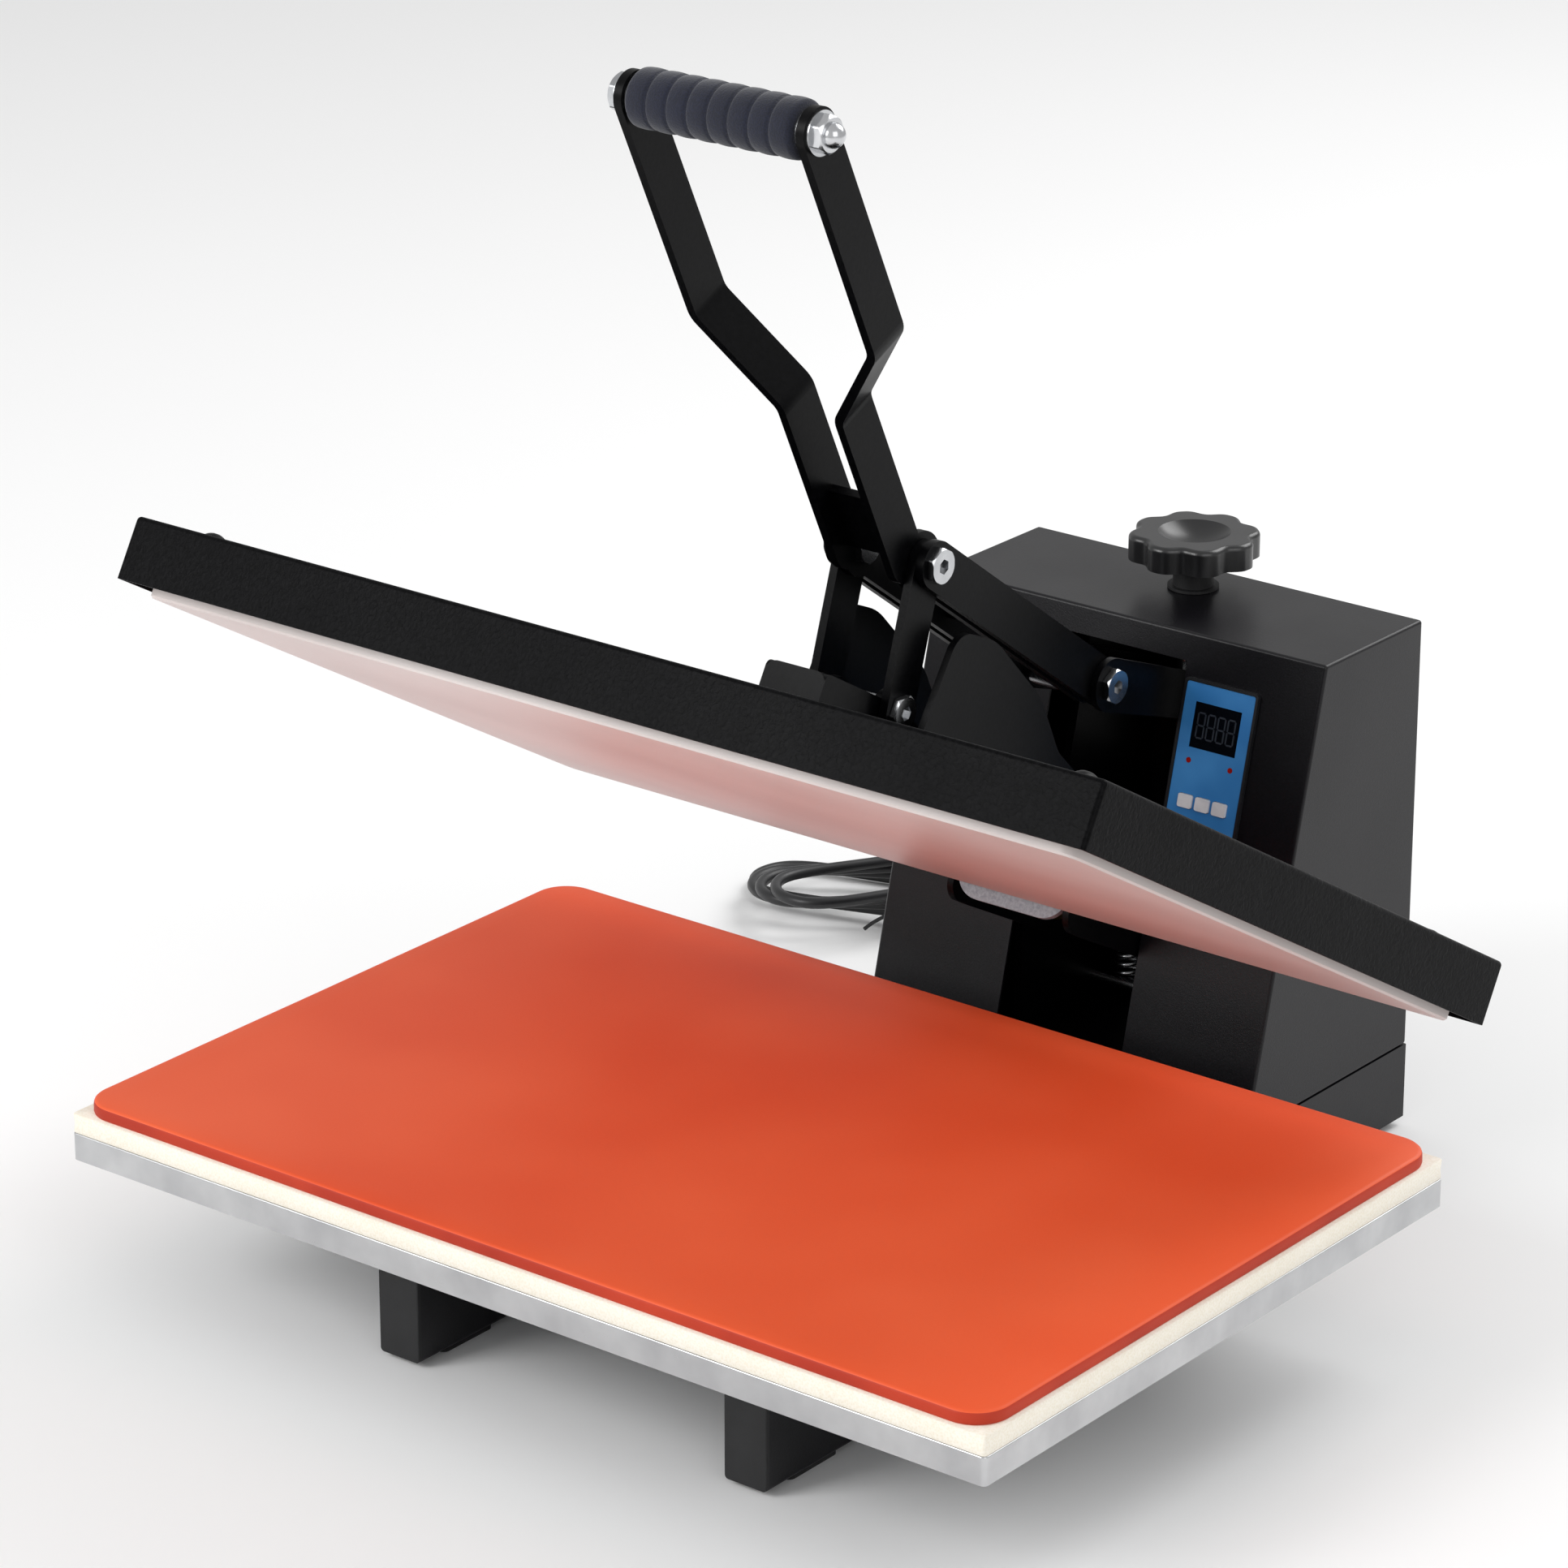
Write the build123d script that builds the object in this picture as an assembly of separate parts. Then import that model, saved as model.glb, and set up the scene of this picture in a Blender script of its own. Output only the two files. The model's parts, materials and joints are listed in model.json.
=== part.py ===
from build123d import *
import math
import os

os.makedirs("parts", exist_ok=True)

# Clamshell heat press. Millimetres, +Z up, X across, Y from the user to the control tower.
# Everything is placed from the middle of the bed (x = 0, y = 0) and the ground (z = 0).
# save() moves it so that the origin is under the middle of the whole press.

# Base frame
foot_height = 3.0
foot_length = 40.0
rail_width = 27.0
rail_height = 50.0
rail_wall = 2.0
rail_outer_x = 129.0
rail_set_back = 52.0
beam_width = 30.0
beam_y = 90.0
beam_half_length = 240.0
tube_wall = 2.0
fit_gap = 0.3

# Bed
bed_width = 600.0
bed_depth = 400.0
tray_rim = 15.5
tray_wall = 2.0
tray_bottom_z = 82.6
sponge_thick = 11.0
pad_thick = 7.5
pad_inset = 2.5
pad_corner = 20.0
bolt_spread_x = 200.0
tray_bolt_r = 4.0

# Control tower
tower_half_width = 131.0
tower_top_z = 304.4
tower_bottom_z = 50.0
tower_back_y = 430.0
tower_front_top_y = 334.0
tower_lean = 0.2545
shell_wall = 1.5
slot_half_width = 43.0
slot_top_z = 289.0
mast_inner_x = 44.5
mast_thick = 5.0
screw_y = 397.0
screw_r = 8.0
screw_clear = 0.05

# Upper platen, in its closed pose
platen_width = 617.0
platen_depth = 418.0
platen_height = 34.4
cover_wall = 1.5
cover_round = 2.5
press_gap = 0.4
heater_drop = 4.0
heater_thick = 12.0
heater_inset = 12.0
element_r = 3.5
cover_bolt_inset = 30.0

# Mechanism
hinge_y = 322.6
hinge_z = 131.0
open_angle = 30.26
hinge_pin_r = 8.0
running_clear = 0.05
pivot_y = 267.7
pivot_z = 291.0
pivot_r = 6.0
leg_foot_y = 24.8
leg_foot_rise = 26.5
leg_length = 78.8
leg_width = 24.0
leg_lug_r = 10.0
link_width = 26.0
plate_thick = 5.0
side_gap = 0.5
bar_inner_x = 16.0
arm_outer_x = 41.0
arm_thick = 4.0
ear_thick = 4.0
ear_r = 15.0

# Handle
grip_y = -20.0
grip_z = 663.0
handle_bend_y = 104.0
handle_bend_z = 404.0
handle_width = 26.0
handle_half_span = 57.0
jog_start = 0.36
jog_end = 0.54
grip_r = 15.5
grip_tube_r = 11.0
grip_bolt_r = 6.0
washer_thick = 1.6

# Knob
knob_r = 37.0
knob_lobes = 8
knob_height = 18.0
knob_bite = 4.5
knob_round = 3.0
knob_lift = 15.0
collar_r = 14.5

# Controls on the sloping front
panel_x = 69.2
panel_top_z = 279.5
panel_width = 45.0
panel_height = 94.0
panel_depth = 22.0
bezel_rim = 1.8
display_width = 30.5
display_height = 25.5
button_pitch = 11.3
button_width = 9.0
button_height = 7.5
button_gap = 0.3

# Power cord
cord_r = 3.5
gland_x = -95.0
gland_z = 85.0
gland_reach = 10.0
relief_length = 32.0
hank_x = -301.6
hank_y = 494.8
hank_turn = 38.3
hank_length = 160.0
hank_width = 114.0
hank_height = 34.0

# Worked out from the sizes above
rail_bottom_z = foot_height
rail_top_z = rail_bottom_z + rail_height
rail_inner_x = rail_outer_x - rail_width
rail_front_y = -bed_depth / 2 + rail_set_back
rail_rear_y = tower_back_y - 2.5
tray_top_z = tray_bottom_z + tray_rim
sponge_top_z = tray_top_z + sponge_thick
pad_top_z = sponge_top_z + pad_thick
heater_bottom_z = pad_top_z + press_gap
cover_bottom_z = heater_bottom_z + heater_drop
cover_top_z = cover_bottom_z + platen_height
leg_inner_x = bar_inner_x + plate_thick + side_gap
link_inner_x = leg_inner_x + plate_thick + side_gap
link_outer_x = link_inner_x + plate_thick
ear_inner_x = link_outer_x + side_gap
ear_outer_x = ear_inner_x + ear_thick
arm_inner_x = arm_outer_x - arm_thick
origin_y = (-bed_depth / 2 + tower_back_y + gland_reach) / 2
hinge_axis = Axis((0, hinge_y, hinge_z), (1, 0, 0))


def turned(point, angle):
    """A (y, z) point turned about the main hinge; a positive angle closes the press."""
    a = math.radians(angle)
    y = point[0] - hinge_y
    z = point[1] - hinge_z
    return (hinge_y + y * math.cos(a) - z * math.sin(a), hinge_z + y * math.sin(a) + z * math.cos(a))


def meet(c0, r0, c1, r1):
    """The front crossing of two circles in the (y, z) plane."""
    dy = c1[0] - c0[0]
    dz = c1[1] - c0[1]
    d = math.hypot(dy, dz)
    a = (r0 * r0 - r1 * r1 + d * d) / (2 * d)
    h = math.sqrt(r0 * r0 - a * a)
    return (c0[0] + a * dy / d + h * dz / d, c0[1] + a * dz / d - h * dy / d)


def tower_front_y(z):
    """The sloping front's Y at height z."""
    return tower_front_top_y - (tower_top_z - z) * tower_lean


# The toggle is straight when the press is closed, and this gives the lever's rear arm its length.
pivot = (pivot_y, pivot_z)
leg_foot_closed = (leg_foot_y, cover_top_z + leg_foot_rise)
leg_foot = turned(leg_foot_closed, -open_angle)
rear_arm = math.dist(pivot, leg_foot_closed) - leg_length
knee = meet(pivot, rear_arm, leg_foot, leg_length)


# ---------------------------------------------------------------- helpers


def block(x0, x1, y0, y1, z0, z1):
    """Box between two corners."""
    return Pos((x0 + x1) / 2, (y0 + y1) / 2, (z0 + z1) / 2) * Box(x1 - x0, y1 - y0, z1 - z0)


def plate(outline, x0, x1):
    """A (y, z) outline made into a plate between two X values."""
    return extrude(Plane.YZ.offset(x0) * outline, amount=x1 - x0)


def rod_x(y, z, r, x0, x1):
    """Round bar along X."""
    return plate(Pos(y, z) * Circle(r), x0, x1)


def rod_z(x, y, r, z0, z1):
    """Round bar along Z."""
    return Pos(x, y, (z0 + z1) / 2) * Cylinder(r, z1 - z0)


def capsule(a, b, width):
    """Straight bar outline with round ends centred on two points."""
    angle = math.degrees(math.atan2(b[1] - a[1], b[0] - a[0]))
    middle = Pos((a[0] + b[0]) / 2, (a[1] + b[1]) / 2)
    return middle * Rot(0, 0, angle) * SlotCenterToCenter(math.dist(a, b), width)


def tapered(a, ra, b, rb):
    """Bar outline between two circles of different size."""
    angle = math.atan2(b[1] - a[1], b[0] - a[0])
    spread = math.acos((ra - rb) / math.dist(a, b))
    corners = []
    for centre, r, side in ((a, ra, 1), (b, rb, 1), (b, rb, -1), (a, ra, -1)):
        t = angle + side * spread
        corners.append((centre[0] + r * math.cos(t), centre[1] + r * math.sin(t)))
    body = make_face(Polyline(*corners, close=True))
    return body + Pos(*a) * Circle(ra) + Pos(*b) * Circle(rb)


def rounded(points):
    """Closed outline through (y, z, corner radius) points."""
    face = make_face(Polyline(*[(p[0], p[1]) for p in points], close=True))
    for y, z, r in points:
        if r:
            corner = face.vertices().sort_by_distance((y, z, 0))[0]
            face = fillet(corner, r)
    return face


def both_sides(shape):
    """A shape and its mirror image across the middle plane."""
    return [shape, mirror(shape, Plane.YZ)]


def opened(shape):
    """Moves a piece of the upper platen from its closed pose to its open one."""
    return shape.rotate(hinge_axis, -open_angle)


def solids_of(shapes):
    """Every solid in a shape or a list of shapes."""
    if isinstance(shapes, (list, tuple)):
        return [s for shape in shapes for s in solids_of(shape)]
    return list(shapes.solids())


made = {}


def save(name, shapes):
    """Writes one node, moved to the part's own origin."""
    pieces = [s.moved(Location((0, -origin_y, 0))) for s in solids_of(shapes)]
    made[name] = pieces
    export_step(Compound(children=pieces), f"parts/{name}.step")


def hex_head(r, height):
    """Hexagon head or nut with chamfered corners, on the XY plane."""
    prism = extrude(RegularPolygon(r, 6, major_radius=False), amount=height)
    cone = extrude(Circle(r * 1.13), amount=height)
    return prism & chamfer(cone.edges().sort_by(Axis.Z)[-1], height * 0.25)


def along_x(shape, x, y, z, flip=False):
    """Turns a shape built up along Z to point along +X, or -X when flipped."""
    return Pos(x, y, z) * Rot(0, -90 if flip else 90, 0) * shape


# ---------------------------------------------------------------- base frame


def base_rails():
    rails = []
    tube = block(rail_inner_x, rail_outer_x, rail_front_y, rail_rear_y, rail_bottom_z, rail_top_z)
    tube = fillet(tube.edges().filter_by(Axis.Y), 2.5)
    hollow = block(
        rail_inner_x + rail_wall,
        rail_outer_x - rail_wall,
        rail_front_y - 1,
        rail_rear_y + 1,
        rail_bottom_z + rail_wall,
        rail_top_z - rail_wall,
    )
    rails += both_sides(tube - hollow)
    return rails


def rail_end_caps():
    cap = block(rail_inner_x, rail_outer_x, rail_front_y - 2.5, rail_front_y, rail_bottom_z, rail_top_z)
    cap = fillet(cap.edges().filter_by(Axis.Y), 2.5)
    cap = fillet(cap.faces().sort_by(Axis.Y)[0].edges(), 0.8)
    inset = rail_wall + fit_gap
    plug = block(
        rail_inner_x + inset,
        rail_outer_x - inset,
        rail_front_y,
        rail_front_y + 12,
        rail_bottom_z + inset,
        rail_top_z - inset,
    )
    return both_sides(cap + plug)


def rubber_feet():
    feet = []
    middle = (rail_inner_x + rail_outer_x) / 2
    for y in (rail_front_y + foot_length, rail_rear_y - foot_length):
        pad = Pos(middle, y, foot_height / 2) * Box(rail_width - 5, foot_length, foot_height)
        feet += both_sides(fillet(pad.edges().filter_by(Axis.Z), 4))
    return feet


def cross_beams():
    beams = []
    top = tray_top_z - tray_wall
    for y in (-beam_y, beam_y):
        y0 = y - beam_width / 2
        y1 = y + beam_width / 2
        beam = block(-beam_half_length, beam_half_length, y0, y1, rail_top_z, top)
        beam = fillet(beam.edges().filter_by(Axis.X), 3)
        reach = beam_half_length + 1
        beam -= block(
            -reach, reach, y0 + tube_wall, y1 - tube_wall, rail_top_z + tube_wall, top - tube_wall
        )
        for x in (-bolt_spread_x, bolt_spread_x):
            beam -= rod_z(x, y, tray_bolt_r + 0.2, top - 5, top + 5)
        beams.append(beam)
    return beams


def lower_tray():
    w = bed_width / 2
    d = bed_depth / 2
    tray = block(-w, w, -d, d, tray_bottom_z, tray_top_z)
    tray = fillet(tray.edges().filter_by(Axis.Z), 3)
    tray = fillet(tray.faces().sort_by(Axis.Z)[-1].edges(), 0.8)
    hollow = block(
        -w + tray_wall, w - tray_wall, -d + tray_wall, d - tray_wall, tray_bottom_z - 1, tray_top_z - tray_wall
    )
    tray -= hollow
    for x in (-bolt_spread_x, bolt_spread_x):
        for y in (-beam_y, beam_y):
            tray -= rod_z(x, y, tray_bolt_r + 0.2, tray_bottom_z, tray_top_z + 1)
    return tray


def tray_bolts():
    bolts = []
    seat = tray_top_z - tray_wall - tube_wall
    for x in (-bolt_spread_x, bolt_spread_x):
        for y in (-beam_y, beam_y):
            head = Pos(x, y, seat - 5.3) * hex_head(6.5, 5.3)
            bolts.append(head + rod_z(x, y, tray_bolt_r, seat - 3, tray_top_z - 0.2))
    return bolts


def sponge_layer():
    w = bed_width / 2
    d = bed_depth / 2
    return block(-w, w, -d, d, tray_top_z, sponge_top_z)


def silicone_pad():
    w = bed_width / 2 - pad_inset
    d = bed_depth / 2 - pad_inset
    pad = block(-w, w, -d, d, sponge_top_z, pad_top_z)
    return fillet(pad.edges().filter_by(Axis.Z), pad_corner)


# ---------------------------------------------------------------- tower


def tower_prism(grow, z0, z1, back, top_round=0.0):
    """The tower's side profile as a solid, grown outwards by a margin."""
    slope = math.hypot(1, tower_lean)
    outline = [
        (tower_front_y(z0) - grow * slope, z0),
        (back, z0),
        (back, z1),
        (tower_front_y(z1) - grow * slope, z1),
    ]
    half = tower_half_width + grow
    solid = plate(make_face(Polyline(*outline, close=True)), -half, half)
    if top_round:
        solid = fillet(solid.edges().filter_by(Axis.Y), top_round)
        solid = fillet(solid.edges().sort_by(Axis.Z)[-4:].filter_by(Axis.X), top_round)
    return solid


def on_front(x, z):
    """A plane on the sloping front, its Y axis up the slope and its Z axis outwards."""
    normal = (0, -1, tower_lean)
    return Plane(origin=(x, tower_front_y(z), z), x_dir=(1, 0, 0), z_dir=normal)


rise = 1 / math.hypot(1, tower_lean)
panel_plane = on_front(panel_x, panel_top_z - panel_height / 2 * rise)


def on_panel(sketch, low, high):
    """A sketch on the control panel extruded between two distances from the tower's face."""
    return extrude(panel_plane.offset(low) * sketch, amount=high - low)


def tower_shell():
    outer = tower_prism(0, tower_bottom_z, tower_top_z, tower_back_y, 2.0)
    top = tower_top_z - shell_wall
    inner = tower_prism(-shell_wall, tower_bottom_z - 10, top, tower_back_y + 10)
    shell = outer - inner
    shell -= block(-slot_half_width, slot_half_width, 200, screw_y - 40, 0, slot_top_z)
    shell -= rod_z(0, screw_y, collar_r - 3, top - 1, tower_top_z + 1)
    sole = tower_front_y(tower_bottom_z)
    notch = block(
        rail_inner_x - fit_gap,
        tower_half_width - shell_wall - 0.1,
        sole - 5,
        sole + 5,
        tower_bottom_z - 1,
        rail_top_z + fit_gap,
    )
    shell -= notch
    shell -= mirror(notch, Plane.YZ)
    cut = panel_width + 2 * bezel_rim - 3
    shell -= on_panel(Rectangle(cut, panel_height + 2 * bezel_rim - 3), -8, 8)
    return shell


def tower_skirt():
    top = tower_bottom_z - fit_gap
    low = rail_bottom_z + 2
    front = tower_front_y(tower_bottom_z)
    side = block(rail_outer_x + 0.1, tower_half_width, front, tower_back_y, low, top)
    back = block(-tower_half_width, tower_half_width, tower_back_y - 1.8, tower_back_y, low, top)
    face = block(-rail_inner_x + fit_gap, rail_inner_x - fit_gap, front, front + 1.8, low, top)
    return [side + back + mirror(side, Plane.YZ), face]


def tower_floor():
    half = tower_half_width - shell_wall - fit_gap
    y0 = tower_front_y(tower_bottom_z) + 5
    return block(-half, half, y0, tower_back_y - 2.5, rail_top_z, rail_top_z + 3)


def mast_plates():
    z0 = rail_top_z + 3
    outline = rounded(
        [
            (hinge_y - 22, z0, 0),
            (tower_back_y - 6, z0, 0),
            (tower_back_y - 6, tower_top_z - 6, 6),
            (screw_y - 30, tower_top_z - 6, 12),
            (hinge_y + 20, hinge_z + 70, 20),
            (hinge_y - 22, hinge_z + 30, 20),
        ]
    )
    mast = plate(outline, mast_inner_x, mast_inner_x + mast_thick)
    mast -= rod_x(hinge_y, hinge_z, hinge_pin_r, mast_inner_x - 1, mast_inner_x + mast_thick + 1)
    foot = block(mast_inner_x, mast_inner_x + 30, hinge_y - 22, tower_back_y - 6, z0, z0 + mast_thick)
    return both_sides(mast + foot)


crosshead_z = tower_top_z - 24


def mast_crosshead():
    head = block(-mast_inner_x, mast_inner_x, screw_y - 18, screw_y + 18, crosshead_z, crosshead_z + 16)
    return head - rod_z(0, screw_y, screw_r + screw_clear, crosshead_z - 1, crosshead_z + 20)


def hinge_pin():
    end = mast_inner_x + mast_thick
    pin = rod_x(hinge_y, hinge_z, hinge_pin_r, -end - 6, end + 6)
    clips = []
    for x in (-end - 3.5, end + 2):
        ring = rod_x(hinge_y, hinge_z, hinge_pin_r + 3, x, x + 1.5)
        ring -= rod_x(hinge_y, hinge_z, hinge_pin_r - 0.6, x - 1, x + 3)
        pin -= rod_x(hinge_y, hinge_z, hinge_pin_r + 1, x, x + 1.5) - rod_x(
            hinge_y, hinge_z, hinge_pin_r - 0.6, x, x + 1.5
        )
        clips.append(ring)
    return [pin] + clips


vent_rows = 9
vent_length = 56
vent_middles = (18, 84)


def rear_cover():
    half = tower_half_width - shell_wall - 0.2
    y0 = tower_back_y - shell_wall
    cover = block(-half, half, y0, tower_back_y, tower_bottom_z + 1, tower_top_z - shell_wall - 0.3)
    for row in range(vent_rows):
        z = 190 + row * 9
        for x in vent_middles:
            slot = Pos(x, y0, z) * Rot(90, 0, 0) * SlotOverall(vent_length, 3.5)
            cover -= extrude(slot, amount=6, both=True)
    cover -= Pos(gland_x, tower_back_y, gland_z) * Rot(90, 0, 0) * Cylinder(7.1, 10)
    cover -= Pos(switch_x, tower_back_y, gland_z) * Box(switch_width, 10, switch_height)
    cover -= Pos(fuse_x, tower_back_y, gland_z) * Rot(90, 0, 0) * Cylinder(6.1, 10)
    return cover


switch_x = 95.0
switch_width = 19.0
switch_height = 28.0
fuse_x = 66.0
rocker_tilt = 9.0


def switch_body():
    """Rocker switch housing: flange outside the cover, open box inside it."""
    y = tower_back_y
    flange = Pos(switch_x, y + 1, gland_z) * Box(switch_width + 4, 2, switch_height + 4)
    flange = fillet(flange.edges().filter_by(Axis.Y), 2)
    body = Pos(switch_x, y - 12, gland_z) * Box(switch_width - 0.4, 24, switch_height - 0.4)
    well = Pos(switch_x, y - 3, gland_z) * Box(switch_width - 5, 20, switch_height - 5)
    return (flange + body) - well


def rocker():
    """Rocker key with its two faces meeting at the pivot, tilted to OFF."""
    y = tower_back_y - 4
    half = switch_height / 2 - 4
    top = 5.0
    outline = [(y - 2, -half), (y + top + 2, -half), (y + top, 0), (y + top + 2, half), (y - 2, half)]
    key = plate(make_face(Polyline(*outline, close=True)), -switch_width / 2 + 3.2, switch_width / 2 - 3.2)
    key = Pos(switch_x, 0, gland_z) * key
    return key.rotate(Axis((switch_x, y, gland_z), (1, 0, 0)), -rocker_tilt)


def fuse_holder():
    barrel = Pos(fuse_x, tower_back_y - 14, gland_z) * Rot(90, 0, 0) * Cylinder(6, 28)
    cap = Pos(fuse_x, tower_back_y + 4, gland_z) * Rot(90, 0, 0) * Cylinder(8, 8)
    cap = fillet(cap.edges().sort_by(Axis.Y)[-1], 1.5)
    return barrel + cap


def shell_screws():
    """Pan-head screws round the rear cover."""
    screws = []
    for x in (-118, 118):
        for z in (68, 176, 285):
            head = Pos(x, tower_back_y + 1, z) * Rot(90, 0, 0) * Cylinder(3.6, 2)
            head = fillet(head.edges().sort_by(Axis.Y)[-1], 0.9)
            screws.append(head - Pos(x, tower_back_y + 2, z) * Box(5, 1.2, 0.9))
    return screws


def panel_bezel():
    outer = RectangleRounded(panel_width + 2 * bezel_rim, panel_height + 2 * bezel_rim, 2.5)
    inner = RectangleRounded(panel_width + 0.3, panel_height + 0.3, 1.5)
    body = Rectangle(panel_width - 9, panel_height - 3)
    back = Rectangle(panel_width - 12, panel_height - 6)
    rim = on_panel(outer, 0, 2.4) - on_panel(inner, 0.8, 4)
    housing = on_panel(body, -panel_depth, 0.5) - on_panel(back, -panel_depth + 2, 1)
    return rim - on_panel(back, -1, 3) + housing


display_v = 24.0
led_v = 4.0
button_v = -18.5


def panel_face():
    face = on_panel(RectangleRounded(panel_width, panel_height, 1.5), 0.8, 2.0)
    face -= on_panel(Pos(0, display_v) * Rectangle(display_width, display_height), 0, 3)
    for u in (-13.7, 13.7):
        face -= on_panel(Pos(u, led_v) * Circle(1.6), 0, 3)
    for i in (-1, 0, 1):
        hole = RectangleRounded(button_width + 2 * button_gap, button_height + 2 * button_gap, 1.4)
        face -= on_panel(Pos(i * button_pitch, button_v) * hole, 0, 3)
    return face


def display_window():
    return on_panel(Pos(0, display_v) * Rectangle(display_width - 0.2, display_height - 0.2), -1.2, 1.6)


def status_leds():
    return [on_panel(Pos(u, led_v) * Circle(1.5), -3, 2.2) for u in (-13.7, 13.7)]


def button(i):
    cap = RectangleRounded(button_width, button_height, 1.2)
    head = on_panel(Pos(i * button_pitch, button_v) * cap, 0.2, 3.2)
    stem = on_panel(Pos(i * button_pitch, button_v) * Circle(1.8), -5.2, 0.2)
    return head + stem


def control_board():
    return on_panel(Rectangle(panel_width - 13, panel_height - 7), -8, -6.4)


def transformer():
    z0 = rail_top_z + 3
    core = block(80, 120, 330, 385, z0, z0 + 44)
    core = fillet(core.edges().filter_by(Axis.Y), 2)
    coils = [block(86, 114, y, y + 7.8, z0 + 6, z0 + 38) for y in (322, 385.2)]
    return [core] + coils


def relay_block():
    z0 = rail_top_z + 3
    block_body = block(-122, -78, 310, 370, z0, z0 + 20)
    for i in range(6):
        x = -121 + i * 7.9
        block_body += block(x, x + 2.5, 312, 368, z0 + 20, z0 + 36)
    return block_body


def terminal_block():
    base = block(-115, -65, 385, 401, 120, 128)
    for i in range(5):
        base += block(-114 + i * 10, -106 + i * 10, 387, 399, 128, 138)
    return base + block(-115, -65, 398, 428, 118, 121)


def open_stops():
    """Rubber blocks on the masts that the arm's rear lugs rest on when the press is open."""
    top = lug[1] - lug_r - fit_gap
    return both_sides(block(arm_inner_x - 0.5, mast_inner_x, lug[0] - 10, lug[0] + 10, top - 16, top))


lug = (372.0, 120.0)
lug_r = 12.0
spring_r = 8.0
spring_wire = 1.3
spring_x = 20.0
anchor_z = 66.0
tie_rod_r = 5.0


def spring_anchor():
    end = mast_inner_x
    return rod_x(lug[0], anchor_z, tie_rod_r - 1, -end, end)


def return_springs():
    """Extension springs between the anchor rod and the arm's tie rod."""
    low = anchor_z + tie_rod_r - 1 + spring_wire + fit_gap
    high = lug[1] - tie_rod_r - spring_wire - fit_gap
    turns = 8
    springs = []
    for x in (-spring_x, spring_x):
        path = Helix(pitch=(high - low) / turns, height=high - low, radius=spring_r)
        start = Plane(origin=path @ 0, z_dir=path % 0)
        coil = sweep(start * Circle(spring_wire), path=path)
        springs.append(Pos(x, lug[0], low) * coil)
    return springs


# ---------------------------------------------------------------- pressure screw and knob


def pressure_screw():
    screw = rod_z(0, screw_y, screw_r, hanger_low_z - 4, tower_top_z + knob_lift + 4)
    for z in (crosshead_z - 3.2, crosshead_z + 16.2):
        screw += rod_z(0, screw_y, screw_r + 5, z, z + 3)
    return screw


def knob_collar():
    """Bright washer and rubber boot between the tower's top and the knob."""
    z0 = tower_top_z + fit_gap
    washer = rod_z(0, screw_y, collar_r, z0, z0 + 1.6)
    boot = rod_z(0, screw_y, collar_r - 3, z0 + 1.6, tower_top_z + knob_lift - 0.2)
    bore = rod_z(0, screw_y, screw_r + screw_clear, tower_top_z - 1, tower_top_z + knob_lift + 1)
    return washer + boot - bore


def pressure_knob():
    """Lobed hand knob: a disc with scallops between its lobes, and a hub below."""
    z0 = tower_top_z + knob_lift
    steps = knob_lobes * 8
    rim = []
    for i in range(steps):
        t = 2 * math.pi * i / steps
        r = knob_r - knob_bite * (0.5 - 0.5 * math.cos(knob_lobes * t)) ** 1.6
        rim.append((r * math.cos(t), r * math.sin(t)))
    disc = make_face(Spline(*rim, periodic=True))
    cap = Pos(0, screw_y, z0 + 3) * extrude(disc, amount=knob_height - 3)
    cap = fillet(cap.faces().sort_by(Axis.Z)[-1].edges(), knob_round)
    hub = Pos(0, screw_y, z0) * extrude(Circle(17), amount=6)
    knob = cap + hub
    dish = Pos(0, screw_y, z0 + knob_height + 22) * Sphere(30)
    knob -= dish
    return knob - rod_z(0, screw_y, screw_r, z0 - 1, z0 + 4)


hanger_low_z = 232.0
hanger_top_z = 256.0


def pressure_hanger():
    """Nut block on the pressure screw, with two ears that carry the lever's pivot."""
    y0 = screw_y - 20
    y1 = screw_y + 18
    nut = block(-ear_inner_x, ear_inner_x, y0, y1, hanger_low_z, hanger_top_z)
    nut -= rod_z(0, screw_y, screw_r + screw_clear, hanger_low_z - 1, hanger_top_z + 1)
    half = (hanger_top_z - hanger_low_z) / 2
    outline = tapered(pivot, ear_r, (screw_y, hanger_low_z + half), half)
    outline -= Pos(*pivot) * Circle(pivot_r)
    for ear in both_sides(plate(outline, ear_inner_x, ear_outer_x)):
        nut += ear
    return nut


def bolt_across(y, z, r, reach, head_r, head_thick):
    """Through bolt along X with a domed hex head at +X and an acorn nut at -X."""
    shank = rod_x(y, z, r, -reach, reach)
    head = along_x(hex_head(head_r, head_thick), reach, y, z)
    nut = along_x(hex_head(head_r, head_thick), -reach, y, z, flip=True)
    dome = Pos(-reach - head_thick, y, z) * Sphere(head_r * 0.72)
    socket = along_x(extrude(RegularPolygon(head_r * 0.45, 6), amount=head_thick), reach + 1.2, y, z)
    return shank + head + nut + dome - socket


def pivot_bolt():
    return bolt_across(*pivot, pivot_r, ear_outer_x + 0.2, 9.0, 4.0)


def pivot_spacers():
    """Tubes on the pivot bolt that keep the lever's plates apart."""
    spacers = []
    bars = (-bar_inner_x + side_gap, bar_inner_x - side_gap)
    gap = (bar_inner_x + plate_thick + side_gap, link_inner_x - side_gap)
    for x0, x1 in (bars, gap, (-gap[1], -gap[0])):
        ring = rod_x(*pivot, pivot_r + 3.5, x0, x1)
        spacers.append(ring - rod_x(*pivot, pivot_r, x0 - 1, x1 + 1))
    return spacers


# ---------------------------------------------------------------- lever


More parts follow.
